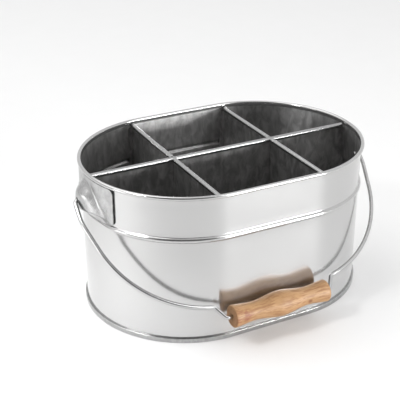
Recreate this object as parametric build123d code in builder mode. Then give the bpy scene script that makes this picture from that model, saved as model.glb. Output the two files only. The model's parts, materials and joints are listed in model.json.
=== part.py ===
"""Oval steel caddy for table cutlery, with six compartments, a wire bail and a turned wooden grip.

Millimetres. X runs along the long side, -Y is the front, where the bail hangs at rest, and +Z is
up. The origin is the middle of the foot seam, on the surface that the caddy stands on.
"""
import os
from math import acos, cos, degrees, pi, radians, sin, sqrt, tan

from build123d import *

# Oval body
straight_half = 44.6      # from the middle of the caddy to the centre of each round end
end_radius = 104.5        # outside of the wall at the round ends
overall_height = 159.0    # to the top of the rolled rim
wall_sheet = 0.8
rim_radius = 2.0          # outside of the rolled rim
rim_opening = 55.0        # degrees of the roll left open, where the sheet's edge stops
bead_height = 5.6         # the raised bead round the wall, along Z
bead_proud = 2.2
bead_z = 113.0
lock_seam_width = 8.0     # the wall's lap seam at the back
lock_seam_proud = 0.8

# Double seam at the foot, and the floor
seam_height = 5.0
seam_proud = 2.0
seam_gap = 0.1            # between the layers of the seam
seam_round = 0.5
floor_z = 4.8             # upper face of the floor
floor_sheet = 0.8

# Dividers
divider_sheet = 0.8
divider_drop = 3.5        # from the top of the rim to the top of the dividers
divider_roll_radius = 2.5
divider_roll_slit = 0.6
divider_roll_setback = 1.6
divider_floor_gap = 0.3
cross_spacing = 108.4     # between the two cross dividers
lap_gap = 0.2             # on each side of a sheet in its slot
lap_height = 74.0         # where the two slots of a crossing meet
flange_width = 10.0
flange_gap = 0.05

# Ears, each a plate with a pressed pocket that the end of the bail turns in
ear_sheet = 1.0
ear_gap = 0.1
ear_width = 86.0
ear_bottom_z = 116.4
ear_rim_gap = 0.3
ear_corner = 5.0
pocket_proud = 10.5       # how far the pocket stands out from the plate
pocket_crease_z = 123.6   # where the pocket turns back towards the wall
pocket_peak_z = 135.5
pocket_top_z = 152.5
pocket_bottom_z = 117.2
pocket_crease_half = 34.0
pocket_peak_half = 23.0
pocket_top_half = 7.0
pocket_bottom_half = 37.0
pocket_power = 1.3        # a lower power gives the pocket a flatter face
pocket_edge_proud = 0.2

# Rivets
rivet_shank_radius = 2.0
rivet_hole_gap = 0.05
rivet_head_radius = 3.5
rivet_dome = 1.8
rivet_tail_height = 1.0
rivet_angle = 18.5        # from the ear's middle, about the centre of the round end
rivet_z = 131.0

# Bail, laid out in its own plane: x along the caddy and r away from the pivot
wire_radius = 2.0
bail_pivot_z = 130.0
bail_hang_angle = 39.0    # below level, where the wire's tails meet the pockets' lips
bail_hole_gap = 0.1
bail_hole_rise = 1.6      # the hole is this much taller than the wire
bail_leg_out = 14.5       # from the wall to the middle of the leg, at the pivot
bail_tail_out = 4.9       # from the wall to the middle of the tail inside the pocket
bail_tail_length = 11.0
bail_hook_bend = 3.4
bail_shoulder_r = 24.0
bail_shoulder_out = 15.5
bail_shoulder_bend = 60.0
bail_corner_in = 7.6      # from the wall back to the corner where leg and bow would meet
bail_corner_fill = 0.91   # how much of the bow its corner's bend takes up
bail_bow_drop = 17.2      # along r, from that corner to the kink
bail_kink_out = 13.0      # along x, from the grip's end to the kink
bail_kink_drop = 13.4     # along r, from the kink to the grip's middle
bail_kink_bend = 4.5
bail_grip_turn_out = 5.0  # from the grip's end to where the wire turns into it

# Grip
grip_wall_gap = 2.0       # between the swell and the wall, with the bail at rest
grip_length = 108.0
grip_end_radius = 11.3
grip_neck_radius = 9.3
grip_neck_x = 30.0
grip_swell_radius = 12.9
grip_edge_round = 1.6
grip_mouth = 1.2          # the countersink at each end of the bore
grip_bore_gap = 0.08

os.makedirs("parts", exist_ok=True)

# Values that several pieces share
inner_radius = end_radius - wall_sheet
end_x = straight_half + end_radius
rim_z = overall_height - rim_radius
wall_foot_z = floor_sheet + seam_gap
hook_proud = seam_proud - floor_sheet - seam_gap
chuck_outer = inner_radius - seam_gap
divider_top_z = overall_height - divider_drop
divider_roll_z = divider_top_z - divider_roll_radius
divider_foot_z = floor_z + divider_floor_gap
divider_sheet_height = divider_roll_z - divider_roll_radius + divider_sheet / 2 - divider_foot_z
cross_x = cross_spacing / 2
flange_outer = inner_radius - flange_gap
flange_inner = flange_outer - divider_sheet
ear_inner = end_radius + ear_gap
ear_outer = ear_inner + ear_sheet
ear_top_z = overall_height - 2 * rim_radius - ear_rim_gap
rivet_places = [(side, turn) for side in (1, -1) for turn in (rivet_angle, -rivet_angle)]


def export_piece(piece, name):
    """Label a finished piece and write it under its name."""
    piece.label = name
    export_step(piece, "parts/" + name + ".step")


def oval(radius, mode=Mode.ADD):
    """Draw an oval about the caddy's middle, with round ends of this radius."""
    SlotCenterToCenter(2 * straight_half, 2 * radius, mode=mode)


def rivet_plane(side, turn):
    """The plane through the centre of a round end that faces out along a rivet."""
    return Plane(origin=(side * straight_half, 0, rivet_z), x_dir=(0, 0, 1),
                 z_dir=(side * cos(radians(turn)), sin(radians(turn)), 0))


def rivet_hole(side, turn):
    """A rivet's hole, drawn just inside the wall and facing out."""
    with BuildSketch(rivet_plane(side, turn).offset(inner_radius - rivet_head_radius)) as hole:
        Circle(rivet_shank_radius + rivet_hole_gap)
    return hole.sketch


# The wall: one sheet with a bead, a rolled rim and a foot flange, carried round the oval, with a
# lap seam down the back.
with BuildPart() as body_wall:
    with BuildLine() as oval_path:
        Line((-straight_half, -end_radius), (straight_half, -end_radius))
        CenterArc((straight_half, 0), end_radius, -90, 180)
        Line((straight_half, end_radius), (-straight_half, end_radius))
        CenterArc((-straight_half, 0), end_radius, 90, 180)
    bead_radius = ((bead_height / 2) ** 2 + bead_proud**2) / (2 * bead_proud)
    bead_centre = bead_proud - bead_radius
    roll_centre = rim_radius - wall_sheet
    roll_reach = 2 * rim_radius
    with BuildSketch(Plane(origin=(0, -end_radius, 0), x_dir=(0, -1, 0), z_dir=(-1, 0, 0))):
        with Locations((-wall_sheet, wall_foot_z)):
            Rectangle(wall_sheet, rim_z - wall_foot_z, align=(Align.MIN, Align.MIN))
            Rectangle(wall_sheet + hook_proud, wall_sheet, align=(Align.MIN, Align.MIN))
        with BuildSketch(mode=Mode.PRIVATE) as bead:
            with Locations((bead_centre, bead_z)):
                Circle(bead_radius)
            with Locations((-wall_sheet, bead_z)):
                Rectangle(2 * bead_radius, 3 * bead_radius, align=(Align.MAX, Align.CENTER),
                          mode=Mode.SUBTRACT)
        add(bead.sketch)
        with Locations((bead_centre, bead_z)):
            Circle(bead_radius - wall_sheet, mode=Mode.SUBTRACT)
        with BuildSketch(mode=Mode.PRIVATE) as roll:
            with Locations((roll_centre, rim_z)):
                Circle(rim_radius)
                Circle(rim_radius - wall_sheet, mode=Mode.SUBTRACT)
            with BuildLine():
                Polyline((roll_centre, rim_z), (roll_centre - roll_reach, rim_z),
                         (roll_centre - roll_reach, rim_z - roll_reach * tan(radians(rim_opening))),
                         close=True)
            make_face(mode=Mode.SUBTRACT)
        add(roll.sketch)
    sweep(path=oval_path.wire())
    with BuildSketch(Plane.XY.offset(seam_height + seam_gap)):
        with Locations((0, end_radius - wall_sheet / 2)):
            Rectangle(lock_seam_width, wall_sheet / 2 + lock_seam_proud,
                      align=(Align.CENTER, Align.MIN))
    extrude(amount=rim_z - rim_radius - 2 * seam_gap - seam_height)
    for place in rivet_places:
        extrude(rivet_hole(*place), amount=2 * rivet_head_radius, mode=Mode.SUBTRACT)
export_piece(body_wall.part, "body_wall")

# The base: a pressed floor whose edge turns down, out and up round the wall's foot flange, and
# in over it. The caddy stands on this seam.
with BuildPart() as base_panel:
    with BuildSketch():
        oval(end_radius + seam_proud)
    extrude(amount=seam_height)
    fillet(base_panel.faces().filter_by(Axis.Z).edges(), seam_round)
    with BuildSketch(Plane.XY.offset(floor_sheet)):
        oval(end_radius + hook_proud + seam_gap)
        oval(chuck_outer, mode=Mode.SUBTRACT)
    extrude(amount=seam_height - 2 * floor_sheet, mode=Mode.SUBTRACT)
    with BuildSketch(Plane.XY.offset(seam_height - floor_sheet)):
        oval(end_radius + seam_gap)
        oval(chuck_outer, mode=Mode.SUBTRACT)
    extrude(amount=floor_sheet, mode=Mode.SUBTRACT)
    with BuildSketch(Plane.XY.offset(floor_z)):
        oval(end_radius + seam_gap)
    extrude(amount=seam_height, mode=Mode.SUBTRACT)
    with BuildSketch():
        oval(chuck_outer - floor_sheet)
    extrude(amount=floor_z - floor_sheet, mode=Mode.SUBTRACT)
export_piece(base_panel.part, "base_panel")


def flange_strip(side, direction):
    """The flange that lies against the wall of a round end, as seen from above."""
    half_turn = degrees(flange_width / 2 / flange_outer)
    centre = (side * straight_half, 0)
    with BuildSketch() as strip:
        with BuildLine():
            outer = CenterArc(centre, flange_outer, direction - half_turn, 2 * half_turn)
            inner = CenterArc(centre, flange_inner, direction - half_turn, 2 * half_turn)
            Line(outer @ 0, inner @ 0)
            Line(outer @ 1, inner @ 1)
        make_face()
    return strip.sketch


def rolled_edge(plane, length):
    """The section of the open tube that a divider's top edge is rolled into, at one end of it."""
    with BuildSketch(plane.offset(-length / 2)) as tube:
        with Locations((0, divider_roll_z)):
            Circle(divider_roll_radius)
            Circle(divider_roll_radius - divider_sheet, mode=Mode.SUBTRACT)
        with Locations((divider_sheet / 2, divider_roll_z)):
            Rectangle(divider_roll_slit, 2 * divider_roll_radius, align=(Align.MIN, Align.MAX),
                      mode=Mode.SUBTRACT)
    return tube.sketch


# The long divider runs from end to end and is slotted from below at each crossing.
with BuildPart() as long_divider:
    with BuildSketch(Plane.XY.offset(divider_foot_z)):
        Rectangle(2 * (straight_half + flange_inner) + divider_sheet, divider_sheet)
        add(flange_strip(1, 0))
        add(flange_strip(-1, 180))
    extrude(amount=divider_sheet_height)
    roll_length = 2 * (straight_half + inner_radius - divider_roll_setback)
    extrude(rolled_edge(Plane.YZ, roll_length), amount=roll_length)
    with BuildSketch(Plane.XY.offset(divider_foot_z)):
        with GridLocations(cross_spacing, 0, 2, 1):
            Rectangle(divider_sheet + 2 * lap_gap, 3 * divider_sheet)
    extrude(amount=lap_height - divider_foot_z, mode=Mode.SUBTRACT)
export_piece(long_divider.part, "long_divider")

# Each cross divider is slotted from above, and its rolled edge is notched round the long one.
cross_overlap = cross_x - straight_half
cross_half = sqrt(flange_inner**2 - cross_overlap**2)
cross_roll_half = sqrt(inner_radius**2 - (cross_overlap + divider_roll_radius) ** 2)
cross_direction = degrees(acos(cross_overlap / flange_outer))
with BuildPart() as cross_divider:
    with BuildSketch(Plane.XY.offset(divider_foot_z)):
        with Locations((cross_x, 0)):
            Rectangle(divider_sheet, 2 * cross_half + divider_sheet)
        add(flange_strip(1, cross_direction))
        add(flange_strip(1, -cross_direction))
    extrude(amount=divider_sheet_height)
    roll_length = 2 * (cross_roll_half - divider_roll_setback)
    roll_plane = Plane(origin=(cross_x, 0, 0), x_dir=(1, 0, 0), z_dir=(0, -1, 0))
    extrude(rolled_edge(roll_plane, roll_length), amount=roll_length)
    with BuildSketch(Plane.YZ.offset(cross_x - 2 * divider_roll_radius)):
        with Locations((0, lap_height)):
            Rectangle(divider_sheet + 2 * lap_gap, overall_height, align=(Align.CENTER, Align.MIN))
        with Locations((0, divider_roll_z - divider_roll_radius - lap_gap)):
            Rectangle(2 * (divider_roll_radius + lap_gap), overall_height,
                      align=(Align.CENTER, Align.MIN))
    extrude(amount=4 * divider_roll_radius, mode=Mode.SUBTRACT)
with BuildPart() as cross_divider_right:
    add(cross_divider.part)
with BuildPart() as cross_divider_left:
    mirror(cross_divider.part, about=Plane.YZ)
export_piece(cross_divider_right.part, "cross_divider_right")
export_piece(cross_divider_left.part, "cross_divider_left")


def pocket_section(z, half_width, proud, inward):
    """The pocket's bell-shaped section at a height, shifted towards the wall by inward."""
    steps = 4
    base = ear_inner + ear_sheet / 2
    with BuildSketch(Plane.XY.offset(z)) as section:
        with BuildLine():
            points = []
            for step in range(-steps, steps + 1):
                turn = step / steps * half_width / base
                bell = max(cos(pi / 2 * step / steps), 0) ** pocket_power
                reach = base + proud * bell
                points.append((straight_half + reach * cos(turn) - inward, reach * sin(turn)))
            face = Spline(*points)
            ThreePointArc(face @ 1, (straight_half + base - ear_sheet / 4 - inward, 0), face @ 0)
        make_face()
    return section.sketch


def pocket(inward):
    """The pocket as a solid: a hood that fades out under the rim, and a lip below the crease."""
    hood = []
    for t in (0, 0.25, 0.5, 0.75, 1):
        z = pocket_peak_z + t * (pocket_top_z - pocket_peak_z)
        half_width = pocket_peak_half + t * (pocket_top_half - pocket_peak_half)
        proud = pocket_edge_proud + (pocket_proud - pocket_edge_proud) * cos(pi / 2 * t) ** 1.5
        hood.append(pocket_section(z, half_width, proud, inward))
    crease = pocket_section(pocket_crease_z, pocket_crease_half, pocket_proud, inward)
    foot = pocket_section(pocket_bottom_z, pocket_bottom_half, pocket_edge_proud, inward)
    with BuildPart() as solid:
        loft(hood)
        loft([crease, hood[0]], ruled=True)
        loft([foot, crease], ruled=True)
    return solid.part


# Each ear is a plate bent to the round end, with a pocket pressed out of it and a slotted hole
# in the pocket's face for the end of the bail.
with BuildPart() as ear:
    with BuildSketch(Plane.XY.offset(ear_bottom_z)):
        with Locations((straight_half, 0)):
            Circle(ear_outer)
            Circle(ear_inner, mode=Mode.SUBTRACT)
    extrude(amount=ear_top_z - ear_bottom_z)
    with BuildSketch(Plane.YZ.offset(straight_half)):
        with Locations((0, (ear_bottom_z + ear_top_z) / 2)):
            RectangleRounded(ear_width, ear_top_z - ear_bottom_z, ear_corner)
    extrude(amount=2 * end_radius, mode=Mode.INTERSECT)
    add(pocket(0))
    add(pocket(ear_sheet * 1.15), mode=Mode.SUBTRACT)
    with BuildSketch(Plane.YZ.offset(end_x + pocket_proud / 2)):
        with Locations((0, bail_pivot_z + bail_hole_rise / 2)):
            SlotCenterToCenter(bail_hole_rise, 2 * (wire_radius + bail_hole_gap), rotation=90)
    extrude(amount=pocket_proud, mode=Mode.SUBTRACT)
    for place in rivet_places[:2]:
        extrude(rivet_hole(*place), amount=2 * rivet_head_radius, mode=Mode.SUBTRACT)
with BuildPart() as ear_right:
    add(ear.part)
with BuildPart() as ear_left:
    mirror(ear.part, about=Plane.YZ)
export_piece(ear_right.part, "ear_right")
export_piece(ear_left.part, "ear_left")

# Four domed rivets, headed over inside the wall, hold the ears.
for side, turn in rivet_places:
    plane = rivet_plane(side, turn)
    section = Plane(origin=plane.origin, x_dir=plane.z_dir, z_dir=(0, 0, 1))
    tail_seat = sqrt(inner_radius**2 - rivet_head_radius**2)
    with BuildPart() as rivet:
        with BuildSketch(section):
            with BuildLine():
                Polyline((ear_outer + rivet_dome, 0), (tail_seat - rivet_tail_height, 0),
                         (tail_seat - rivet_tail_height, rivet_head_radius),
                         (tail_seat, rivet_head_radius), (tail_seat, rivet_shank_radius),
                         (ear_outer, rivet_shank_radius), (ear_outer, rivet_head_radius))
                TangentArc((ear_outer + rivet_dome, 0), (ear_outer, rivet_head_radius),
                           tangent=(0, 1), tangent_from_first=True)
            make_face()
        revolve(axis=Axis(plane.origin, plane.z_dir))
    end_name = "right" if side > 0 else "left"
    edge_name = "back" if turn > 0 else "front"
    export_piece(rivet.part, "rivet_" + end_name + "_" + edge_name)

# The bail: one wire, hooked through both ears, bowed round the front and kinked into the grip.
hang = radians(bail_hang_angle)
bail_plane = Plane(origin=(0, 0, bail_pivot_z), x_dir=(1, 0, 0), z_dir=(0, sin(hang), -cos(hang)))
grip_r = (end_radius + grip_wall_gap + grip_swell_radius) / cos(hang)
bail_kink_x = grip_length / 2 + bail_kink_out
bail_kink_r = grip_r - bail_kink_drop
bail_corner_x = end_x - bail_corner_in
bail_corner_r = bail_kink_r - bail_bow_drop
leg = Vector(end_x + bail_shoulder_out - bail_corner_x, bail_shoulder_r - bail_corner_r)
bow = Vector(bail_kink_x - bail_corner_x, bail_bow_drop)
bail_corner_turn = 180 - leg.get_angle(bow)
bail_corner_bend = bail_corner_fill * bow.length / tan(radians(bail_corner_turn / 2))
bail_corners = [
    (end_x + bail_tail_out, bail_tail_length, 0),
    (end_x + bail_tail_out, 0, bail_hook_bend),
    (end_x + bail_leg_out, 0, bail_hook_bend),
    (end_x + bail_shoulder_out, bail_shoulder_r, bail_shoulder_bend),
    (bail_corner_x, bail_corner_r, bail_corner_bend),
    (bail_kink_x, bail_kink_r, bail_kink_bend),
    (grip_length / 2 + bail_grip_turn_out, grip_r, bail_kink_bend),
]
left_corners = [(-x, r, bend) for x, r, bend in reversed(bail_corners)]
route = bail_corners + left_corners
with BuildPart() as bail_wire:
    with BuildLine(bail_plane) as bail_path:
        FilletPolyline(*[(x, r) for x, r, bend in route], radius=[bend for x, r, bend in route[1:-1]])
    with BuildSketch(Plane(origin=bail_path.wire() @ 0, z_dir=bail_path.wire() % 0)):
        Circle(wire_radius)
    sweep(path=bail_path.wire())
export_piece(bail_wire.part, "bail_wire")
print("bow bend", bail_corner_bend)

# The grip: turned wood with a swell in the middle and flared ends, bored for the wire.
with BuildPart() as wood_grip:
    bore = wire_radius + grip_bore_gap
    half = grip_length / 2
    with BuildSketch(bail_plane.shift_origin(bail_plane.from_local_coords((0, grip_r, 0)))):
        with BuildLine():
            outline = Spline((-half, grip_end_radius), (-grip_neck_x, grip_neck_radius),
                             (0, grip_swell_radius), (grip_neck_x, grip_neck_radius),
                             (half, grip_end_radius), tangents=[(1, 0), (1, 0)])
            Polyline(outline @ 1, (half, bore + grip_mouth), (half - grip_mouth, bore),
                     (grip_mouth - half, bore), (-half, bore + grip_mouth), outline @ 0)
        make_face()
    revolve(axis=Axis(bail_plane.from_local_coords((0, grip_r, 0)), (1, 0, 0)))
    rims = wood_grip.edges().filter_by(GeomType.CIRCLE).sort_by(SortBy.RADIUS)[-2:]
    fillet(rims, grip_edge_round)
export_piece(wood_grip.part, "wood_grip")
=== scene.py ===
"""Looks of the oval steel cutlery caddy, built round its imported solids.

Lengths are in millimetres until a mesh is made, and the frame is the part's own: X along the long
side, -Y the front, +Z up. Sizes come from the frame, or from the few values named below.
"""

import json
from math import atan2, cos, degrees, hypot, pi, radians, sin, tan

import bmesh
import bpy
import numpy as np
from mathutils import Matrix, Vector


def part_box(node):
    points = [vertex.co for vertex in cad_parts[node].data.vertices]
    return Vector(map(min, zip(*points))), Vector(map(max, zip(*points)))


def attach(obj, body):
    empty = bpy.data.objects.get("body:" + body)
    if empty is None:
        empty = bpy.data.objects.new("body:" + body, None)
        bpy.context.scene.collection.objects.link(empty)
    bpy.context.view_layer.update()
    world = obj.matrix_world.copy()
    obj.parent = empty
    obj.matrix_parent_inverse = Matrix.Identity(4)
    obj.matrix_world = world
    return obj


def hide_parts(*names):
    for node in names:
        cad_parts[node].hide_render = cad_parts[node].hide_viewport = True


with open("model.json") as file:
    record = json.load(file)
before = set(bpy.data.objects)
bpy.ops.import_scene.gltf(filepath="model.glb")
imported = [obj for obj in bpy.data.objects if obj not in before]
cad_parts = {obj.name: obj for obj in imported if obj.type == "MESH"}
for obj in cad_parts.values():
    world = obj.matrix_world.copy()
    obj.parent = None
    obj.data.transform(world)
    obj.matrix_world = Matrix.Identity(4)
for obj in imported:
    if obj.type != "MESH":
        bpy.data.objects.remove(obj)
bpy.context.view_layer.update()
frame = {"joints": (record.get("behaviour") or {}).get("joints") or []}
MM = 0.001


def node_box(node):
    """A node's lowest and highest corners, in millimetres."""
    low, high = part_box(node)
    return np.array(low) / MM, np.array(high) / MM


# Sizes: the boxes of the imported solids, and the values that those boxes don't give
wall_low, wall_high = node_box("body_wall")
base_high = node_box("base_panel")[1]
divider_low, divider_high = node_box("long_divider")
cross_high = node_box("cross_divider_right")[1]
ear_low, ear_high = node_box("ear_right")
grip_low, grip_high = node_box("wood_grip")

# The wall
wall_sheet = 0.8
rim_radius = 2.0
rim_opening = 55.0        # degrees of the rolled rim left open
rim_bright = 3.0          # how far below the rim's middle the inside turns dull
rim_row = 4.0             # from the rim's middle down to the next row of the grid
bead_z = 113.0
bead_height = 5.6
bead_proud = 2.2
bead_fillet = 1.0
rim_reach = 2 * rim_radius - wall_sheet
end_radius = wall_high[1] - rim_reach
straight_half = wall_high[0] - wall_high[1]
end_x = straight_half + end_radius
inner_radius = end_radius - wall_sheet
rim_z = wall_high[2] - rim_radius
foot_z = wall_low[2]
foot_flange = 1.1
lap_width = 8.0
lap_proud = 0.8
lap_edge = 0.35
lap_root = 0.3            # how far the lap seam's sides reach into the wall
lap_clear = 0.1           # from the lap seam's ends to the foot seam and to the rim

# The foot seam and the floor
seam_proud = base_high[1] - end_radius
seam_height = base_high[2]
seam_round = 0.5
seam_lip_round = 0.3      # where the seam's upper edge turns down beside the wall
seam_rows = (0.62, 0.38)  # shares of the seam's height where rows cross its flat outside
floor_z = 4.8
floor_sheet = 0.8
floor_round = 0.4         # where the floor turns down into the chuck wall
floor_row = 4.0           # from the chuck wall in to the next row of the grid
chuck_gap = 0.1
under_dull = 0.6          # how dull the floor's underside is, where inside it is 1

# The dividers
roll_radius = 2.5
roll_fillet = 0.5
roll_gap_turn = 24.0      # degrees of a divider's roll left open beside its sheet
roll_z = divider_high[2] - roll_radius
roll_setback = 1.6
sheet_foot_z = divider_low[2]
sheet_cells = (7, 8, 1)   # grid cells up a sheet: to the slots' meeting, on up, and at the top
cross_x = cross_high[0] - roll_radius
slot_meeting_z = 74.0     # where the two slots of a crossing meet
slot_gap = 0.2
flange_gap = 0.05
flange_outer = inner_radius - flange_gap
flange_width = 10.0
divider_edge = 0.12

# The ears
ear_sheet = 1.0
ear_gap = 0.1
ear_outer = end_radius + ear_gap + ear_sheet
ear_corner = 5.0
ear_edge = 0.4
ear_width = ear_high[1] - ear_low[1]
pocket_proud = 10.5
pocket_edge_proud = 0.2
pocket_z = {"foot": 117.2, "crease": 123.6, "peak": 135.5, "top": 152.5}
pocket_half = {"foot": 37.0, "crease": 34.0, "peak": 23.0, "top": 7.0}
pocket_power = 1.3        # of the bell across the pocket
pocket_fade_power = 1.5   # of the fade from the peak to the top
pocket_sink = 1.0         # how far the pocket runs in below its foot, over the same height
pocket_fall = 3.0         # how fast it runs in beside the bell
pocket_blend = 0.2        # how softly the pocket meets the plate
crease_round = 0.7
crease_weights = {-1: 0.15, -0.5: 0.2, 0: 0.3, 0.5: 0.2, 1: 0.15}    # by height, in crease_rounds
hole_gap = 0.1
hole_rise = 1.6           # the hole is this much taller than the wire

# The rivets
rivet_head_radius = 3.5
rivet_shank_radius = 2.0
rivet_dome = 1.8
rivet_dome_stop = 4.0     # degrees of the dome's arc left out at its rim
rivet_bed = 0.1           # from the ear's outside in to the head's underside
rivet_tail = 1.0
rivet_tail_round = 0.6
rivet_turn = 18.5         # degrees from the ear's middle
rivet_z = 131.0

# The bail, laid out in its own plane: x along the caddy and r away from the pivot
wire_radius = 2.0
bail_pivot_z = frame["joints"][0]["pos_m"][2] / MM
tail_length = 11.0
tail_out = 4.9            # from the wall to the middle of the tail
tail_tip = {0: 0.55, 0.12: 0.85, 0.4: 1.0}    # shares of the wire's radius by depth from its end
leg_out = 14.5            # from the wall to the middle of the leg, at the pivot
hook_bend = 3.4
shoulder_out = 15.5
shoulder_r = 24.0
shoulder_bend = 60.0
corner_in = 7.6           # from the wall back to the corner where leg and bow would meet
corner_fill = 0.91        # how much of the bow its corner's bend takes up
bow_drop = 17.2           # along r, from that corner to the kink
kink_out = 13.0           # along x, from the grip's end to the kink
kink_drop = 13.4          # along r, from the kink to the grip's middle
kink_bend = 4.5
grip_turn_out = 5.0       # from the grip's end to where the wire turns into it

# The grip
grip_middle = (grip_low + grip_high) / 2
grip_length = grip_high[0] - grip_low[0]
grip_end_radius = 11.3
grip_neck_radius = 9.3
grip_neck_x = 30.0
grip_swell_radius = (grip_high[1] - grip_low[1]) / 2
grip_edge_round = 1.6
grip_dish = 0.15          # how far an end dips towards its mouth
grip_bore = 2.08
grip_mouth = 1.2          # how wide and how deep the bore opens at each end
grip_mouth_dip = 0.2

# The camera, worked out from the picture: metres, degrees and millimetres of lens
camera_place = (-0.44676, -0.81217, 0.54799)
camera_turn = -27.348
camera_tilt = 26.079
camera_lens = 87.97
camera_sensor = 36


# Lines on a plane, as rows of (across, up)
def run(start, end, steps):
    """A straight run from start up to, and not including, end."""
    share = np.arange(steps)[:, None] / steps
    return np.array(start) + share * (np.array(end) - np.array(start))


def arc(centre, radius, first, last, steps):
    """An arc about centre: centre + radius (cos a, sin a), as a goes from first to last degrees."""
    turn = np.radians(np.linspace(first, last, steps + 1))
    return np.array(centre) + radius * np.stack([np.cos(turn), np.sin(turn)], -1)


# Meshes
def carried_round(profile, end_steps=112, side_steps=36):
    """A profile of (outward, z) carried round the oval: each row stands at a middle, which runs
    along the straight sides, and points out of it by a turn that goes round in the ends."""
    ends = np.arange(end_steps) / end_steps * pi
    sides = (2 * np.arange(side_steps) / side_steps - 1) * straight_half
    turn = np.concatenate([ends - pi / 2, np.full(side_steps, pi / 2), ends + pi / 2,
                           np.full(side_steps, -pi / 2)])
    middle = np.concatenate([np.full(end_steps, straight_half), -sides,
                             np.full(end_steps, -straight_half), sides])
    reach = end_radius + profile[:, 0]
    return np.stack([middle[:, None] + reach * np.cos(turn)[:, None],
                     reach * np.sin(turn)[:, None],
                     np.broadcast_to(profile[:, 1], (len(turn), len(profile)))], -1)


def turned(profile, start, axis, across, steps=48):
    """A profile of (along, radius) turned about an axis from start: start + along times the axis
    + radius (cos a times across + sin a times axis x across)."""
    axis, across = np.array(axis, float), np.array(across, float)
    turn = np.arange(steps) / steps * 2 * pi
    spoke = np.cos(turn)[:, None] * across + np.sin(turn)[:, None] * np.cross(axis, across)
    return (np.array(start) + profile[:, None, :1] * axis
            + profile[:, None, 1:] * spoke[None])


def patch(points, closed_u=False, closed_v=False, keep=None):
    """A grid's vertices and its quads, leaving out the cells where keep is false."""
    rows, columns = points.shape[:2]
    u, v = np.meshgrid(np.arange(rows - (not closed_u)), np.arange(columns - (not closed_v)),
                       indexing="ij")
    if keep is not None:
        u, v = u[keep], v[keep]
    next_u, next_v = (u + 1) % rows, (v + 1) % columns
    quads = np.stack([u * columns + v, next_u * columns + v, next_u * columns + next_v,
                      u * columns + next_v], -1).reshape(-1, 4)
    return points.reshape(-1, 3), quads


def make_piece(name, patches, body, nodes, finish, sheet=None, sheet_side=0.0, edge=0.0,
               inside=None, sharp=32.0):
    """One named piece from its patches: vertices that meet are joined and faces turned outwards.
    A sheet gets its thickness on sheet_side of the surface, and its rims an edge radius. Where a
    finish has a dull inside, each vertex says how far it belongs to it. Edges that turn by more
    than sharp degrees stay crisp."""
    starts = np.cumsum([0] + [len(points) for points, quads in patches])
    vertices = np.concatenate([points for points, quads in patches]) * MM
    quads = np.concatenate([quads + start for (points, quads), start in zip(patches, starts)])
    mesh = bpy.data.meshes.new(name)
    mesh.from_pydata(vertices.tolist(), [], quads.tolist())
    if inside is not None:
        mesh.attributes.new("inside", "FLOAT", "POINT").data.foreach_set(
            "value", np.broadcast_to(inside, len(vertices)).astype(np.float32))
    shell = bmesh.new()
    shell.from_mesh(mesh)
    bmesh.ops.delete(shell, geom=[v for v in shell.verts if not v.link_faces], context="VERTS")
    bmesh.ops.remove_doubles(shell, verts=shell.verts, dist=0.002 * MM)
    bmesh.ops.dissolve_degenerate(shell, edges=shell.edges, dist=0.001 * MM)
    if sheet is None:
        bmesh.ops.recalc_face_normals(shell, faces=shell.faces)
    shell.to_mesh(mesh)
    shell.free()
    mesh.shade_smooth()
    mesh.set_sharp_from_angle(angle=radians(sharp))
    mesh.materials.append(finish)
    piece = bpy.data.objects.new(name, mesh)
    bpy.context.scene.collection.objects.link(piece)
    if sheet is not None:
        wall = piece.modifiers.new("sheet", "SOLIDIFY")
        wall.thickness = sheet * MM
        wall.offset = sheet_side
        wall.use_even_offset = True
    if edge:
        rim = piece.modifiers.new("edge", "BEVEL")
        rim.width = edge * MM
        rim.segments = 2
        rim.limit_method = "ANGLE"
        rim.angle_limit = radians(50)
        rim.harden_normals = True
    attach(piece, body)
    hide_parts(*nodes)
    return piece


# Finishes
class Value:
    """A shader socket in Python arithmetic: each operator adds the Math node that does it."""

    def __init__(self, finish, socket):
        self.finish = finish
        self.socket = socket

    def math(self, operation, *values):
        """The result of a Math node on these values."""
        return self.finish.node("ShaderNodeMath", {"operation": operation},
                                dict(enumerate(values)))

    def __add__(self, other):
        return self.math("ADD", self, other)

    def __sub__(self, other):
        return self.math("SUBTRACT", self, other)

    def __rsub__(self, other):
        return self.math("SUBTRACT", other, self)

    def __mul__(self, other):
        return self.math("MULTIPLY", self, other)

    def __truediv__(self, other):
        return self.math("DIVIDE", self, other)

    def __abs__(self):
        return self.math("ABSOLUTE", self)

    __radd__ = __add__
    __rmul__ = __mul__

    def step(self, low, high):
        """0 below low, 1 above high, and a smooth rise between them."""
        return self.finish.node("ShaderNodeMapRange", {"interpolation_type": "SMOOTHSTEP"},
                                {"Value": self, "From Min": low, "From Max": high})

    def part(self, axis):
        """One coordinate of a vector."""
        return self.finish.node("ShaderNodeSeparateXYZ", {}, {0: self}, axis)

    def fraction(self):
        """What is left of a number above the whole number below it."""
        return self.math("FRACT", self)


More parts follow.
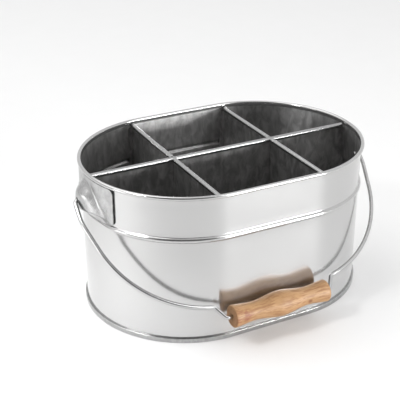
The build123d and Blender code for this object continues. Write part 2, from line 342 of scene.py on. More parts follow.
class Nodes:
    """The nodes of a material or of the room."""

    def __init__(self, tree, coordinates):
        self.tree = tree
        self.place = self.node("ShaderNodeTexCoord", {}, {}, coordinates)

    def node(self, kind, settings, values, output=0):
        """A node of this kind, with its settings first and then its sockets' values or links."""
        node = self.tree.nodes.new(kind)
        for setting, value in settings.items():
            setattr(node, setting, value)
        for socket, value in values.items():
            if isinstance(value, Value):
                self.tree.links.new(value.socket, node.inputs[socket])
            else:
                node.inputs[socket].default_value = value
        return Value(self, node.outputs[output])

    def at(self, stretch=(1, 1, 1), middle=(0, 0, 0)):
        """The place on the piece in millimetres from a middle, with each axis stretched."""
        scale = [s / MM for s in stretch]
        shift = [-s * m for s, m in zip(stretch, middle)]
        return self.node("ShaderNodeMapping", {},
                         {"Vector": self.place, "Location": shift, "Scale": scale})

    def noise(self, vector, scale, detail=2.0, rough=0.5, warp=0.0):
        """Noise from 0 to 1, whose patches are about 1/scale millimetres across."""
        return self.node("ShaderNodeTexNoise", {"noise_dimensions": "3D"},
                         {"Vector": vector, "Scale": scale, "Detail": detail, "Roughness": rough,
                          "Distortion": warp})

    def gap(self, first, second):
        """The distance between two places."""
        return self.node("ShaderNodeVectorMath", {"operation": "DISTANCE"},
                         {0: first, 1: second}, "Value")

    def blend(self, share, first, second):
        """A colour mixed from two, by share."""
        return self.node("ShaderNodeMix", {"data_type": "RGBA"},
                         {"Factor": share, 6: first, 7: second}, 2)

    def bump(self, height, depth, below=None):
        """Relief of this depth in millimetres, over another relief if there is one."""
        values = {"Height": height, "Strength": 1.0, "Distance": depth * MM}
        if below is not None:
            values["Normal"] = below
        return self.node("ShaderNodeBump", {}, values)


class Finish(Nodes):
    """A material in the making. Its constants are set on the shader's own sockets."""

    def __init__(self, name, **constants):
        self.material = bpy.data.materials.new(name)
        self.material.use_nodes = True
        super().__init__(self.material.node_tree, "Object")
        self.shader = self.tree.nodes["Principled BSDF"]
        for socket, value in constants.items():
            self.shader.inputs[socket.replace("_", " ")].default_value = value

    def inside(self):
        """How much a place belongs to the dull inside, from 0 to 1, as the mesh says."""
        return self.node("ShaderNodeAttribute", {"attribute_name": "inside"}, {}, "Fac")

    def use(self, **values):
        """Link the values that change over the surface to the shader, and give the material."""
        for socket, value in values.items():
            self.tree.links.new(value.socket, self.shader.inputs[socket.replace("_", " ")])
        return self.material


def grey(value, warmth=0.0):
    """A grey, a little warm or cool."""
    return (value * (1 + warmth), value, value * (1 - warmth), 1)


def sheet_steel():
    """Bright rolled sheet outside, with painted light that makes it a little paler towards the
    foot, fine rolling lines round it, and duller inside, where it has been rubbed."""
    finish = Finish("rolled_sheet_steel", Metallic=0.9, Anisotropic=0.85, Anisotropic_Rotation=0.25)
    inside = finish.inside()
    lines = finish.noise(finish.at((0.02, 0.02, 1)), 4.5, 3)
    cloud = finish.noise(finish.at(), 0.022, 2)
    smear = finish.noise(finish.at((1, 1, 0.45)), 0.16, 5, 0.62, 0.6)
    scuff = finish.noise(finish.at((1, 1, 0.2)), 1.1, 4, 0.7, 1.5)
    # Painted light: the base colour rises from the bead down to the foot, so the lower wall, which
    # mirrors the shaded floor beside it, looks as bright as higher up
    low = 1 - finish.at().part("Z").step(0, bead_z)
    bright = finish.blend(low * 0.8 + cloud * 0.2, grey(0.50, 0.004), grey(0.64, 0.001))
    dull = finish.blend(smear.step(0.3, 0.75), grey(0.32, 0.006), grey(0.52, 0.008))
    rough_out = 0.10 + 0.05 * lines + 0.04 * cloud
    rough_in = 0.26 + 0.22 * smear + 0.12 * scuff.step(0.5, 0.8)
    rolling = finish.bump(lines, 0.0016)
    relief = finish.bump(finish.noise(finish.at(), 0.03, 1), 0.10, rolling)
    return finish.use(Base_Color=finish.blend(inside, bright, dull),
                      Roughness=rough_out * (1 - inside) + rough_in * inside, Normal=relief)


def seamed_steel():
    """The foot seam, bright with the small marks that the seaming roll leaves round it, and the
    dull floor inside."""
    finish = Finish("seamed_steel", Metallic=1.0)
    inside = finish.inside()
    marks = finish.noise(finish.at((1, 1, 0.4)), 0.6, 2, 0.5, 0.3)
    smear = finish.noise(finish.at(), 0.08, 5, 0.62, 0.6)
    bright = finish.blend(marks.step(0.35, 0.7), grey(0.38), grey(0.5))
    dull = finish.blend(smear.step(0.3, 0.7), grey(0.3, 0.006), grey(0.46, 0.008))
    relief = finish.bump(marks * (1 - inside), 0.02)
    return finish.use(Base_Color=finish.blend(inside, bright, dull),
                      Roughness=(0.14 + 0.1 * marks) * (1 - inside)
                      + (0.3 + 0.25 * smear) * inside, Normal=relief)


def divider_steel():
    """Dull, scratched sheet below, with bright hairlines where it is worn, and a rubbed roll along
    the top."""
    finish = Finish("divider_sheet_steel", Metallic=1.0)
    height = finish.at().part("Z")
    top = height.step(roll_z - roll_radius - 1.5, roll_z - roll_radius + 1.0)
    smear = finish.noise(finish.at((1, 1, 0.5)), 0.12, 5, 0.65, 0.8)
    scratch = finish.noise(finish.at((0.4, 0.4, 2.4)), 0.35, 4, 0.75, 2.0)
    wear = finish.noise(finish.at(), 0.3, 3)
    dull = finish.blend(smear.step(0.32, 0.72), grey(0.36, 0.006), grey(0.62, 0.008))
    bright = finish.blend(wear, grey(0.32), grey(0.5))
    worn = finish.noise(finish.at(), 0.03, 2).step(0.5, 0.7)
    hair = finish.noise(finish.at((1, 1, 0.8)), 0.09, 2, 0.6, 2.5) - 0.5
    hairline = (1 - abs(hair).step(0.0, 0.012)) * (0.15 + 0.5 * worn)
    dull = finish.blend(hairline, dull, grey(0.95))
    relief = finish.bump(finish.noise(finish.at(), 0.05, 2), 0.12, finish.bump(scratch, 0.004))
    return finish.use(Base_Color=finish.blend(top, dull, bright),
                      Roughness=(0.24 + 0.25 * smear + 0.1 * scratch) * (1 - top)
                      + (0.11 + 0.14 * wear) * top, Normal=relief)


def pressed_steel():
    """The ears: drawn sheet, a little duller than the wall, with draw lines up the pocket."""
    finish = Finish("pressed_steel", Metallic=1.0)
    draw = finish.noise(finish.at((0.5, 2.0, 0.15)), 1.2, 3)
    cloud = finish.noise(finish.at(), 0.09, 3, 0.6)
    tone = finish.blend(cloud.step(0.3, 0.7), grey(0.36, 0.004), grey(0.47))
    relief = finish.bump(cloud, 0.05, finish.bump(draw, 0.004))
    return finish.use(Base_Color=tone, Roughness=0.17 + 0.12 * draw + 0.06 * cloud,
                      Normal=relief)


def rivet_steel():
    """Satin heads with the faint marks of the rivet set."""
    finish = Finish("rivet_head_steel", Metallic=1.0)
    dent = finish.noise(finish.at(), 0.7, 3)
    tone = finish.blend(dent, grey(0.34), grey(0.52))
    return finish.use(Base_Color=tone, Roughness=0.26 + 0.16 * dent,
                      Normal=finish.bump(dent, 0.05))


def drawn_wire():
    """Bright drawn wire with fine lines along it."""
    finish = Finish("drawn_wire", Metallic=1.0, Specular_Tint=grey(0.12))
    lines = finish.noise(finish.at((0.05, 1, 1)), 2.2, 3)
    cloud = finish.noise(finish.at(), 0.12, 3, 0.6)
    tone = finish.blend(cloud, grey(0.46), grey(0.66))
    return finish.use(Base_Color=tone, Roughness=0.13 + 0.1 * cloud + 0.05 * lines,
                      Normal=finish.bump(lines, 0.01))


def turned_wood(knot=(30.0, -9.0, -1.5), fork=(-46.0, -9.6, 2.5), heart=(0.0, 17.0, -24.0),
                ring=2.6):
    """Pale lacquered wood. Its growth rings are cylinders round a heart beside the grip, so they
    run as long arcs along it and as curves across its ends. A small knot and a pinkish fork push
    them aside. Its tones are laid over each other from the palest to the marks."""
    finish = Finish("turned_wood", Coat_Roughness=0.38, Specular_IOR_Level=0.4)
    place = finish.at(middle=grip_middle)
    to_knot = finish.gap(place, knot)
    to_fork = finish.gap(finish.at((0.6, 1, 1), grip_middle), (0.6 * fork[0], *fork[1:]))
    slow = finish.noise(finish.at((0.3, 1, 1), grip_middle), 0.055, 2)
    push = 3.4 * (1 - to_knot.step(1.0, 9.0)) + 4.5 * (1 - to_fork.step(1.0, 11.0))
    rings = (finish.gap(finish.at((0, 1, 1), grip_middle), heart) + 8 * slow + push) / ring
    year = rings.fraction()
    late = year.step(0.1, 0.85) * (1 - year.step(0.88, 1.0))
    fibre = finish.noise(finish.at((0.05, 1, 1), grip_middle), 1.9, 4, 0.6)
    grain = finish.noise(finish.at((0.1, 1, 1), grip_middle), 0.5, 3, 0.6, 0.4)
    pores = finish.noise(finish.at((0.16, 1, 1), grip_middle), 3.2, 2)
    patches = finish.noise(finish.at((0.4, 1, 1), grip_middle), 0.085, 2, 0.5, 0.5)
    streaks = finish.noise(finish.at((0.3, 1.2, 1.2), fork), 0.34, 3, 0.6, 1.2)
    ends = abs(place.part("X")).step(grip_length / 2 - 1.2, grip_length / 2 - 0.5)
    layers = (
        (late * 0.4, (0.26, 0.125, 0.044, 1)),
        (patches.step(0.42, 0.68) * 0.75, (0.48, 0.295, 0.155, 1)),
        (grain.step(0.46, 0.64) * 0.75, (0.23, 0.1, 0.034, 1)),
        (fibre.step(0.42, 0.7) * 0.5, (0.35, 0.18, 0.085, 1)),
        (pores.step(0.55, 0.75) * 0.45, (0.24, 0.11, 0.05, 1)),
        ((1 - to_fork.step(2.0, 10.0)) * streaks.step(0.42, 0.6) * 0.95, (0.24, 0.08, 0.04, 1)),
        ((1 - to_knot.step(1.2, 3.4)) * 0.95, (0.20, 0.075, 0.025, 1)),
        (ends * 0.65, (0.2, 0.1, 0.045, 1)))
    tone = (0.42, 0.245, 0.108, 1)
    for share, colour in layers:
        tone = finish.blend(share, tone, colour)
    relief = finish.bump(fibre, 0.02, finish.bump(pores.step(0.55, 0.8), 0.03))
    return finish.use(Base_Color=tone, Roughness=0.5 + 0.12 * fibre + 0.1 * ends,
                      Coat_Weight=0.25 - 0.2 * ends, Normal=relief)


# The wall
bead_radius = ((bead_height / 2) ** 2 + bead_proud ** 2) / (2 * bead_proud)
bead_middle = bead_proud - bead_radius
bead_rise = ((bead_radius + bead_fillet) ** 2 - (bead_fillet - bead_middle) ** 2) ** 0.5
bead_turn = degrees(atan2(bead_rise, bead_fillet - bead_middle))


def bead_line(depth):
    """The bead from below to above, at a depth in the sheet: a flare out of the wall, the round of
    the bead, and a flare back."""
    return np.concatenate([
        arc((bead_fillet, bead_z - bead_rise), bead_fillet + depth, 180, 180 - bead_turn, 5),
        arc((bead_middle, bead_z), bead_radius - depth, -bead_turn, bead_turn, 12)[1:-1],
        arc((bead_fillet, bead_z + bead_rise), bead_fillet + depth, 180 + bead_turn, 180, 5)])


def build_wall():
    """The wall's section, up its outside, round the rolled rim and down its inside, carried round
    the oval. The rim's roll is an arc whose last part is open."""
    rim_middle = rim_radius - wall_sheet
    outside = np.concatenate([
        run((foot_flange, foot_z), (foot_flange, foot_z + wall_sheet), 1),
        run((foot_flange, foot_z + wall_sheet), (0, foot_z + wall_sheet), 1),
        run((0, foot_z + wall_sheet), (0, bead_z - bead_rise), 12),
        bead_line(0),
        run((0, bead_z + bead_rise), (0, rim_z), 6)[1:],
        arc((rim_middle, rim_z), rim_radius - wall_sheet, 180, rim_opening - 180, 20)])
    inside = np.concatenate([
        arc((rim_middle, rim_z), rim_radius, rim_opening - 180, 180, 32),
        run((-wall_sheet, rim_z), (-wall_sheet, rim_z - rim_row), 2)[1:],
        run((-wall_sheet, rim_z - rim_row), (-wall_sheet, bead_z + bead_rise), 5),
        bead_line(wall_sheet)[::-1],
        run((-wall_sheet, bead_z - bead_rise), (-wall_sheet, foot_z), 12)[1:],
        [(-wall_sheet, foot_z)]])
    points = carried_round(np.concatenate([outside, inside]))
    dull = np.concatenate([np.zeros(len(outside)), inside[:, 1] < rim_z - rim_bright])
    make_piece("wall", [patch(points, True, True)], "tub", ["body_wall"], steel,
               inside=np.broadcast_to(dull, points.shape[:2]).ravel())


def build_lap_seam():
    """The lap seam down the back: a low section with rounded edges carried up the wall and over
    the bead."""
    half, middle = lap_width / 2, lap_width / 2 - lap_edge
    across = np.concatenate([
        [(half, -lap_root)], arc((middle, lap_proud - lap_edge), lap_edge, 0, 90, 4),
        [(0, lap_proud)], arc((-middle, lap_proud - lap_edge), lap_edge, 90, 180, 4),
        [(-half, -lap_root), (0, -lap_root)]])
    low, high = seam_height + lap_clear, rim_z - rim_radius - lap_clear
    line = np.concatenate([run((0, low), (0, bead_z - bead_rise), 10), bead_line(0),
                           run((0, bead_z + bead_rise), (0, high), 6)[1:], [(0, high)]])
    points = np.stack([
        np.broadcast_to(across[:, 0], (len(line), len(across))),
        end_radius + line[:, None, 0] + across[:, 1],
        np.broadcast_to(line[:, None, 1], (len(line), len(across)))], -1)
    make_piece("lap_seam", [patch(capped(points), False, True)], "tub", ["body_wall"],
               steel, inside=0)


def capped(points):
    """Rows round a tube, with a row at each end drawn together at its middle."""
    first, last = points[:1].mean(1, keepdims=True), points[-1:].mean(1, keepdims=True)
    row = np.ones((1, points.shape[1], 1))
    return np.concatenate([first * row, points, last * row])


def build_base():
    """The base's section from the middle out over the floor, down the chuck wall, round the inside
    of the seam, and back over its outside and under the floor, carried round the oval."""
    chuck = -wall_sheet - chuck_gap
    hook = foot_flange + chuck_gap
    back = chuck - floor_sheet
    out = seam_proud - seam_round
    floor = np.concatenate([
        run((-end_radius, floor_z), (chuck - floor_row, floor_z), 12),
        run((chuck - floor_row, floor_z), (chuck - floor_round, floor_z), 2),
        arc((chuck - floor_round, floor_z - floor_round), floor_round, 90, 0, 4)])
    seam = np.concatenate([
        [(chuck, floor_sheet), (hook, floor_sheet), (hook, seam_height - floor_sheet),
         (chuck_gap, seam_height - floor_sheet)],
        arc((chuck_gap + seam_lip_round, seam_height - seam_lip_round), seam_lip_round, 180, 90, 4),
        arc((out, seam_height - seam_round), seam_round, 90, 0, 6),
        [(seam_proud, seam_height * share) for share in seam_rows],
        arc((out, seam_round), seam_round, 0, -90, 6),
        arc((back + seam_round, seam_round), seam_round, -90, -180, 5),
        [(back, floor_z - floor_sheet)]])
    under = np.concatenate([
        run((back, floor_z - floor_sheet), (-end_radius, floor_z - floor_sheet), 12)[1:],
        [(-end_radius, floor_z - floor_sheet)]])
    points = carried_round(np.concatenate([floor, seam, under]))
    dull = np.concatenate([np.ones(len(floor)), np.zeros(len(seam)),
                           np.full(len(under), under_dull)])
    make_piece("base", [patch(points, True, False)], "tub", ["base_panel"], seam_finish,
               inside=np.broadcast_to(dull, points.shape[:2]).ravel())


# The dividers
def divider_line():
    """A divider's sheet from its foot up to its roll, and round the roll to the free edge, as the
    middle of the sheet in (across, z)."""
    middle = roll_radius - wall_sheet / 2
    top = roll_z - middle - roll_fillet
    start = 270 - degrees(np.arcsin(roll_fillet / middle))
    levels = [(0, z) for z in (sheet_foot_z, slot_meeting_z, top - slot_gap, top)]
    return np.concatenate([
        *(run(low, high, cells) for low, high, cells in zip(levels, levels[1:], sheet_cells)),
        arc((-roll_fillet, top), roll_fillet, 0, 80, 4),
        arc((0, roll_z), middle, start, roll_gap_turn - 90, 30)])


def divider_patches(stations, keep, place, flange_turns):
    """A divider's line carried along its stations and put in its place, without the cells of its
    slots, and the flanges that lie against the round end's wall."""
    line = divider_line()
    middle_s = (stations[1:] + stations[:-1]) / 2
    middle_line = (line[1:] + line[:-1]) / 2
    is_roll = np.arange(len(middle_line)) >= sum(sheet_cells)
    kept = keep(middle_s[:, None], middle_line[None, :, 1], is_roll[None])
    s, t = np.meshgrid(stations, line[:, 0], indexing="ij")
    z = np.broadcast_to(line[:, 1], s.shape)
    patches = [patch(place(s, t, z), keep=kept)]
    height = np.linspace(sheet_foot_z, roll_z - roll_radius, 16)
    reach = flange_outer - wall_sheet / 2
    half_turn = flange_width / 2 / flange_outer
    for side, direction in flange_turns:
        turn, up = np.meshgrid(radians(direction) + np.linspace(-half_turn, half_turn, 9), height,
                               indexing="ij")
        patches.append(patch(np.stack([side * straight_half + reach * np.cos(turn),
                                       reach * np.sin(turn), up], -1)))
    return patches


def build_dividers():
    """The long divider, slotted from below at each crossing, and the two cross dividers, slotted
    from above and with their rolls notched round the long one's."""
    slot = wall_sheet / 2 + slot_gap
    notch = roll_radius + slot_gap
    half = straight_half + flange_outer - wall_sheet / 2
    roll_half = straight_half + inner_radius - roll_setback
    lines = [cross_x - slot, cross_x + slot, roll_half]
    stations = np.unique(np.concatenate([np.linspace(-half, half, 75), lines, np.negative(lines)]))
    make_piece("long_divider_sheet", divider_patches(
        stations,
        lambda s, z, roll: ~((abs(abs(s) - cross_x) < slot) & (z < slot_meeting_z))
        & ~(roll & (abs(s) > roll_half)),
        lambda s, t, z: np.stack([s, t, z], -1),
        [(1, 0), (-1, 180)]),
        "tub", ["long_divider"], dividing, sheet=wall_sheet, edge=divider_edge)
    over = cross_x - straight_half
    half = ((flange_outer - wall_sheet) ** 2 - over ** 2) ** 0.5 + wall_sheet / 2
    roll_half = (inner_radius ** 2 - (over + roll_radius) ** 2) ** 0.5 - roll_setback
    turn = degrees(np.arccos(over / flange_outer))
    lines = [slot, notch, roll_half]
    stations = np.unique(np.concatenate([np.linspace(-half, half, 55), lines, np.negative(lines)]))
    for side, end_name in ((1, "right"), (-1, "left")):
        make_piece(f"cross_divider_sheet_{end_name}", divider_patches(
            stations,
            lambda s, z, roll: ~((abs(s) < slot) & (z > slot_meeting_z))
            & ~(roll & ((abs(s) > roll_half) | (abs(s) < notch))),
            lambda s, t, z: np.stack([side * (cross_x + t), s, z], -1),
            [(side, 90 - side * (90 - turn)), (side, side * (90 - turn) - 90)]),
            "tub", [f"cross_divider_{end_name}"], dividing, sheet=wall_sheet,
            edge=divider_edge)


# The ears and their rivets
def pocket_reach(turn, z):
    """How far the ear's outside stands from the middle of its round end. The pocket is a bell
    across, cos(pi/2 u) to a power, with a height that rises from the foot to the crease, stays to
    the peak and fades to the top like a cosine. It meets the plate in a smooth larger-of-two."""
    order = ("foot", "crease", "peak", "top")
    heights = [pocket_z[name] for name in order]
    base = ear_outer - ear_sheet / 2
    half = np.interp(z, heights, [pocket_half[name] for name in order])
    fade = np.clip((z - pocket_z["peak"]) / (pocket_z["top"] - pocket_z["peak"]), 0, 1)
    proud = np.where(z < pocket_z["crease"],
                     np.interp(z, [heights[0] - pocket_sink, heights[0], heights[1]],
                               [-pocket_sink, pocket_edge_proud, pocket_proud]),
                     pocket_edge_proud + (pocket_proud - pocket_edge_proud)
                     * np.cos(pi / 2 * fade) ** pocket_fade_power)
    u = np.abs(turn) * base / half
    bell = np.cos(pi / 2 * np.clip(u, 0, 1)) ** pocket_power
    pocket = base + proud * bell - pocket_fall * np.clip(u - 1, 0, 1)
    return (ear_outer + pocket + np.sqrt((ear_outer - pocket) ** 2 + pocket_blend)) / 2


def ear_place(side, y, z):
    """A point of the ear's outside: its reach is averaged over a short height, which rounds the
    pressed creases, and y fixes its turn."""
    reach = np.full(y.shape, ear_outer)
    for again in range(5):
        turn = np.arcsin(y / reach)
        reach = sum(weight * pocket_reach(turn, z + shift * crease_round)
                    for shift, weight in crease_weights.items())
    return np.stack([side * (straight_half + np.sqrt(reach ** 2 - y ** 2)), y, z], -1)


def build_ear(side, end_name):
    """A grid whose rows run from the slotted hole out to the plate's rounded rectangle, closest at
    the hole, laid on the ear's outside."""
    low, high, half, corner = ear_low[2], ear_high[2], ear_width / 2, ear_corner
    rim = np.concatenate([
        arc((half - corner, low + corner), corner, -90, 0, 10),
        run((half, low + corner), (half, high - corner), 28)[1:],
        arc((half - corner, high - corner), corner, 0, 90, 10),
        run((half - corner, high), (corner - half, high), 84)[1:],
        arc((corner - half, high - corner), corner, 90, 180, 10),
        run((-half, high - corner), (-half, low + corner), 28)[1:],
        arc((corner - half, low + corner), corner, 180, 270, 10),
        run((corner - half, low), (half - corner, low), 84)[1:]])
    hole_middle = np.array([0, bail_pivot_z + hole_rise / 2])
    hole_radius = wire_radius + hole_gap
    ray = rim - hole_middle
    ray = ray / np.linalg.norm(ray, axis=1, keepdims=True)
    to_end = hole_rise / 2 * abs(ray[:, 1]) + np.sqrt(
        hole_radius ** 2 - (hole_rise / 2 * ray[:, 0]) ** 2)
    to_side = hole_radius / np.maximum(abs(ray[:, 0]), 1e-6)
    reach = np.where(abs(to_side * ray[:, 1]) < hole_rise / 2, to_side, to_end)
    hole = hole_middle + reach[:, None] * ray
    share = np.linspace(0, 1, 78)[:, None, None] ** 1.2
    flat = hole + share * (rim - hole)
    points = ear_place(side, flat[..., 0], flat[..., 1])
    make_piece(f"ear_plate_{end_name}", [patch(points, False, True)], "tub", [f"ear_{end_name}"],
               pressed, sheet=ear_sheet, sheet_side=-1.0, edge=ear_edge)


def build_rivet(side, turn, end_name, edge_name):
    """A rivet's outline turned about its middle: a low dome outside, the shank, and a flatter head
    inside the wall."""
    dome_radius = (rivet_dome ** 2 + rivet_head_radius ** 2) / (2 * rivet_dome)
    dome_turn = degrees(np.arcsin(rivet_head_radius / dome_radius))
    seat = (inner_radius ** 2 - rivet_head_radius ** 2) ** 0.5
    outline = np.concatenate([
        arc((ear_outer + rivet_dome - dome_radius, 0), dome_radius, 0,
            dome_turn - rivet_dome_stop, 10),
        [(ear_outer - rivet_bed, rivet_head_radius), (ear_outer - rivet_bed, rivet_shank_radius),
         (seat, rivet_shank_radius), (seat, rivet_head_radius)],
        arc((seat - rivet_tail + rivet_tail_round, rivet_head_radius - rivet_tail_round),
            rivet_tail_round, 90, 180, 5),
        [(seat - rivet_tail, 0)]])
    out = (side * cos(radians(turn)), sin(radians(turn)), 0)
    points = turned(outline, (side * straight_half, 0, rivet_z), out, (0, 0, 1), 40)
    make_piece(f"rivet_head_{end_name}_{edge_name}", [patch(points, False, True)], "tub",
               [f"rivet_{end_name}_{edge_name}"], riveting)


# The bail and its grip
def rounded_route(corners):
    """Points along straight runs that are joined by arcs, and the way ahead at each. Each corner
    is (x, r, bend), and its arc touches the runs bend tan(turn/2) from it."""
    places = np.array([corner[:2] for corner in corners], float)
    points, ways = [places[0]], [places[1] - places[0]]
    for before, place, after, corner in zip(places, places[1:], places[2:], corners[1:]):
        ahead, beyond = place - before, after - place
        ahead, beyond = ahead / hypot(*ahead), beyond / hypot(*beyond)
        turn = atan2(ahead[0] * beyond[1] - ahead[1] * beyond[0], ahead @ beyond)
        bend, sense = corner[2], np.sign(turn)
        start = place - ahead * bend * tan(abs(turn) / 2)
        centre = start + bend * sense * np.array([-ahead[1], ahead[0]])
        first = degrees(atan2(*(start - centre)[::-1]))
        steps = max(6, int(bend * abs(turn) / 1.6))
        curve = arc(centre, bend, first, first + degrees(turn), steps)
        points.extend(curve)
        ways.extend(sense * np.stack([centre[1] - curve[:, 1], curve[:, 0] - centre[0]], -1))
    points.append(places[-1])
    ways.append(places[-1] - places[-2])
    ways = np.array(ways)
    return np.array(points), ways / np.linalg.norm(ways, axis=1, keepdims=True)


def build_bail():
    """A circle carried along the bail's route: point + radius (cos a side + sin a up), where side
    lies in the bail's plane and up stands on it. Its tips are rounded off."""
    drop = np.array([grip_middle[1], grip_middle[2] - bail_pivot_z])
    grip_r = hypot(*drop)
    away = np.array([0, *drop / grip_r])
    up = np.cross([1, 0, 0], away)
    kink_x, kink_r = grip_length / 2 + kink_out, grip_r - kink_drop
    corner_x, corner_r = end_x - corner_in, kink_r - bow_drop
    leg = np.array([end_x + shoulder_out - corner_x, shoulder_r - corner_r])
    bow = np.array([kink_x - corner_x, bow_drop])
    corner_turn = pi - np.arccos(leg @ bow / hypot(*leg) / hypot(*bow))
    corner_bend = corner_fill * hypot(*bow) / tan(corner_turn / 2)
    corners = [(end_x + tail_out, tail_length, 0), (end_x + tail_out, 0, hook_bend),
               (end_x + leg_out, 0, hook_bend), (end_x + shoulder_out, shoulder_r, shoulder_bend),
               (corner_x, corner_r, corner_bend), (kink_x, kink_r, kink_bend),
               (grip_length / 2 + grip_turn_out, grip_r, kink_bend)]
    route, ways = rounded_route(corners + [(-x, r, bend) for x, r, bend in corners[::-1]])
    depths, shares = np.array(list(tail_tip.items())).T
    route = np.concatenate([route[0] + np.outer(depths, ways[0]), route[1:-1],
                            route[-1] - np.outer(depths[::-1], ways[-1])])
    extra = np.ones((len(depths) - 1, 1))
    ways = np.concatenate([extra * ways[0], ways, extra * ways[-1]])
    thick = wire_radius * np.concatenate([shares, np.ones(len(route) - 2 * len(shares)),
                                          shares[::-1]])
    plane = np.array([(1, 0, 0), away])
    line = route @ plane
    across = np.stack([-ways[:, 1], ways[:, 0]], -1) @ plane
    a = np.arange(28) / 28 * 2 * pi
    points = (line[:, None] + thick[:, None, None]
              * (np.cos(a)[:, None] * across[:, None] + np.sin(a)[:, None] * up)
              + np.array([0, 0, bail_pivot_z]))
    make_piece("bail", [patch(capped(points), False, True)], "bail", ["bail_wire"],
               wire)


def through_points(x, knots, heights):
    """A smooth curve through the knots, level at both ends: a cubic between each pair, whose
    slopes at the knots make it bend evenly across them."""
    knots, heights = np.array(knots, float), np.array(heights, float)
    gaps, rises = np.diff(knots), np.diff(heights)
    system, goal = np.eye(len(knots)), np.zeros(len(knots))
    for i in range(1, len(knots) - 1):
        system[i, i - 1:i + 2] = 1 / gaps[i - 1], 2 / gaps[i - 1] + 2 / gaps[i], 1 / gaps[i]
        goal[i] = 3 * (rises[i - 1] / gaps[i - 1] ** 2 + rises[i] / gaps[i] ** 2)
    slopes = np.linalg.solve(system, goal)
    i = np.clip(np.searchsorted(knots, x) - 1, 0, len(gaps) - 1)
    t, gap, rise = (x - knots[i]) / gaps[i], gaps[i], rises[i]
    return (heights[i] + rise * t * t * (3 - 2 * t)
            + gap * slopes[i] * t * (1 - t) ** 2 - gap * slopes[i + 1] * t * t * (1 - t))


def build_grip():
    """The grip's outline turned about the wire: flared ends with rounded rims, a neck each side of
    the swell, and a bore that opens at its mouths."""
    half = grip_length / 2
    x = np.linspace(grip_edge_round - half, half - grip_edge_round, 90)
    outline = np.stack([x, through_points(
        x, [-half, -grip_neck_x, 0, grip_neck_x, half],
        [grip_end_radius, grip_neck_radius, grip_swell_radius, grip_neck_radius,
         grip_end_radius])], -1)
    rim = outline[-1, 1] - grip_edge_round
    mouth = grip_bore + grip_mouth
    right = np.concatenate([
        arc((half - grip_edge_round, rim), grip_edge_round, 90, 0, 7)[1:],
        run((half, rim), (half - grip_dish, mouth), 8)[1:],
        [(half - grip_mouth_dip, mouth), (half - grip_mouth, grip_bore)]])
    left = right[::-1] * np.array([-1, 1])
    bore = run((half - grip_mouth, grip_bore), (grip_mouth - half, grip_bore), 6)[1:]
    points = turned(np.concatenate([outline, right, bore, left]), grip_middle, (1, 0, 0),
                    (0, -1, 0), 72)
    make_piece("grip", [patch(points, True, True)], "grip", ["wood_grip"], wood,
               sharp=50)


steel = sheet_steel()
seam_finish = seamed_steel()
dividing = divider_steel()
pressed = pressed_steel()
riveting = rivet_steel()
wire = drawn_wire()
wood = turned_wood()
build_wall()
build_lap_seam()
build_base()
build_dividers()
for side, end_name in ((1, "right"), (-1, "left")):
    build_ear(side, end_name)
    for turn, edge_name in ((rivet_turn, "back"), (-rivet_turn, "front")):
        build_rivet(side, turn, end_name, edge_name)
build_bail()
build_grip()


# The stage
def build_floor(half=3.0):
    """A wide pale floor."""
    mesh = bpy.data.meshes.new("floor")
    mesh.from_pydata([(-half, -half, 0), (half, -half, 0), (half, half, 0), (-half, half, 0)], [],
                     [(0, 1, 2, 3)])
    finish = Finish("pale_floor")
    grain = finish.noise(finish.at(), 0.02, 2)
    mesh.materials.append(finish.use(Base_Color=finish.blend(grain, grey(0.85), grey(0.87)),
                                     Roughness=0.55 + 0.1 * grain))
    floor = bpy.data.objects.new("floor", mesh)
    bpy.context.scene.collection.objects.link(floor)


def lamp_at(name, kind, place, aim, power, **settings):
    """A lamp of this kind at a place in metres, turned towards its aim."""
    lamp = bpy.data.lights.new(name, kind)
    lamp.energy = power
    for setting, value in settings.items():
        setattr(lamp, setting, value)
    light = bpy.data.objects.new(name, lamp)
    light.location = place
    light.rotation_euler = (Vector(place) - Vector(aim)).to_track_quat("Z", "Y").to_euler()
    bpy.context.scene.collection.objects.link(light)


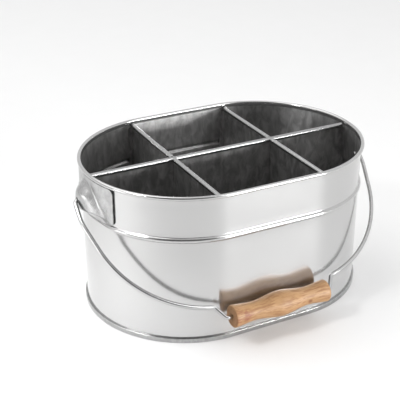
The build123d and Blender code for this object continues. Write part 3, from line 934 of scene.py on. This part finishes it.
def soft_light(name, place, aim, width, height, power):
    """A rectangular soft light."""
    lamp_at(name, "AREA", place, aim, power, shape="RECTANGLE", size=width, size_y=height)


def build_lights():
    """Soft lights above, at the left and at the front right, and a lamp whose soft pool lies on the
    floor at the left, where the wall mirrors it."""
    middle = (0, 0, 0.08)
    soft_light("light_above_left", (-0.7, 0.9, 2.2), middle, 2.0, 2.0, 16)
    soft_light("light_left", (-0.75, -0.12, 0.85), (-0.3, -0.05, 0), 0.16, 0.16, 2.8)
    soft_light("light_low_left", (-2.0, 0.1, 0.2), middle, 0.45, 0.4, 2.5)
    lamp_at("light_floor_left", "SPOT", (-0.62, 0.0, 0.55), (-0.34, 0.02, 0), 9,
            spot_size=radians(52), spot_blend=1.0, shadow_soft_size=0.08)
    soft_light("light_front_right", (0.92, -1.78, 0.22), middle, 0.9, 0.44, 35)
    soft_light("light_above_front", (0.6, -1.15, 1.4), middle, 0.6, 0.6, 3.5)


def build_room(back):
    """A pale room all round, dark in the direction back, where the camera stands."""
    world = bpy.data.worlds.new("room")
    world.use_nodes = True
    room = Nodes(world.node_tree, "Generated")
    toward = room.node("ShaderNodeVectorMath", {"operation": "DOT_PRODUCT"},
                       {0: room.place, 1: back}, "Value")
    tone = room.blend(toward.step(0.72, 0.9), grey(0.9), grey(0.04))
    world.node_tree.links.new(tone.socket, world.node_tree.nodes["Background"].inputs["Color"])
    bpy.context.scene.world = world


def build_camera(back):
    """The camera, which looks along the opposite of back."""
    camera = bpy.data.objects.new("camera", bpy.data.cameras.new("camera"))
    camera.location = camera_place
    camera.rotation_euler = back.to_track_quat("Z", "Y").to_euler()
    camera.data.lens = camera_lens
    camera.data.sensor_width = camera_sensor
    bpy.context.scene.collection.objects.link(camera)
    bpy.context.scene.camera = camera
    bpy.context.scene.view_settings.view_transform = "Standard"


turn, tilt = radians(camera_turn), radians(camera_tilt)
back = Vector((sin(turn) * cos(tilt), -cos(turn) * cos(tilt), sin(tilt)))
build_floor()
build_lights()
build_room(back)
build_camera(back)
